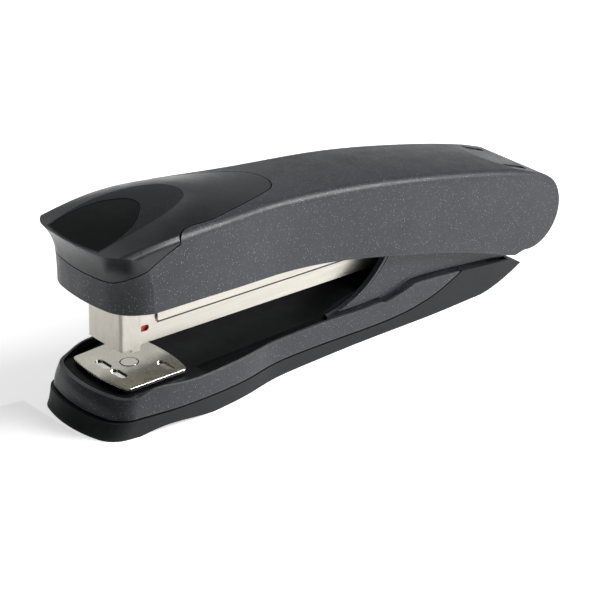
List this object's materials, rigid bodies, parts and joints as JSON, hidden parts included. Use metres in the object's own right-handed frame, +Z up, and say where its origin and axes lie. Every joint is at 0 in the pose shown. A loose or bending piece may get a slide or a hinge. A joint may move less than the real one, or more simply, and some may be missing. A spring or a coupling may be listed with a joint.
{
  "type": "desktop stapler",
  "caption": "Full-strip desktop stapler: domed plastic handle over a steel magazine, hinged at the rear to a flared base with a turning anvil.",
  "frame": {"origin": "on the floor under the middle of the length and width", "axes": "+X from the stapling head to the hinge, +Y across the width, +Z up"},
  "size_m": [0.185, 0.0422, 0.0635],
  "materials": {
    "flake_plastic": "satin charcoal with fine metal flakes",
    "cap_plastic": "smooth satin black",
    "grip_plastic": "fine grained",
    "badge_plastic": "smooth, plain",
    "sole_rubber": "matte",
    "deck_plastic": "matte black",
    "plated_steel": "satin nickel plate",
    "anvil_steel": "satin nickel plate",
    "zinc_steel": "zinc plated",
    "spring_steel": "drawn wire",
    "pusher_plastic": "red, smooth"
  },
  "bodies": {
    "base": {"base_shell": "flake_plastic", "base_sole": "sole_rubber", "stiffener_plate": "zinc_steel", "base_screws": "zinc_steel", "deck": "deck_plastic", "throat_housing": "flake_plastic", "hinge_bracket": "zinc_steel", "pivot_pin": "zinc_steel", "lift_spring": "spring_steel"},
    "anvil": {"anvil_plate": "anvil_steel", "anvil_rivet": "anvil_steel", "anvil_button": "deck_plastic"},
    "magazine": {"magazine_channel": "plated_steel", "staple_core": "plated_steel", "side_rails": "plated_steel", "nose_housing": "plated_steel", "rod_bridge": "zinc_steel", "spring_anchor": "zinc_steel", "guide_rod": "spring_steel", "spring_seat": "zinc_steel", "return_spring": "spring_steel"},
    "pusher": {"pusher": "pusher_plastic", "pusher_spring": "spring_steel"},
    "handle": {"handle_shell": "flake_plastic", "cap": "cap_plastic", "grip_inlay": "grip_plastic", "badge_plate": "badge_plastic", "handle_frame": "zinc_steel", "driver_blade": "spring_steel", "blade_rivets": "zinc_steel", "frame_screws": "zinc_steel"}
  },
  "joints": [
    {"name": "magazine_hinge", "type": "hinge", "parent": "base", "child": "magazine", "pos_m": [0.077, 0, 0.022], "axis": [0, 1, 0], "range_deg": [-2.8, 75], "stiffness_Nm_per_rad": 3, "springref_deg": 3.44, "deforming": ["lift_spring"]},
    {"name": "handle_hinge", "type": "hinge", "parent": "magazine", "child": "handle", "pos_m": [0.077, 0, 0.022], "axis": [0, 1, 0], "range_deg": [-3.4, 45], "stiffness_Nm_per_rad": 3, "springref_deg": 1.72, "deforming": ["return_spring"]},
    {"name": "pusher_slide", "type": "slide", "parent": "magazine", "child": "pusher", "axis": [0.9994, 0, -0.0349], "range_m": [0, 0.08], "stiffness_N_per_m": 20, "springref_m": -0.08, "deforming": ["pusher_spring"]},
    {"name": "anvil_turn", "type": "hinge", "parent": "base", "child": "anvil", "pos_m": [-0.07, 0, 0.0125], "axis": [0, 0, 1], "range_deg": [0, 180]}
  ]
}
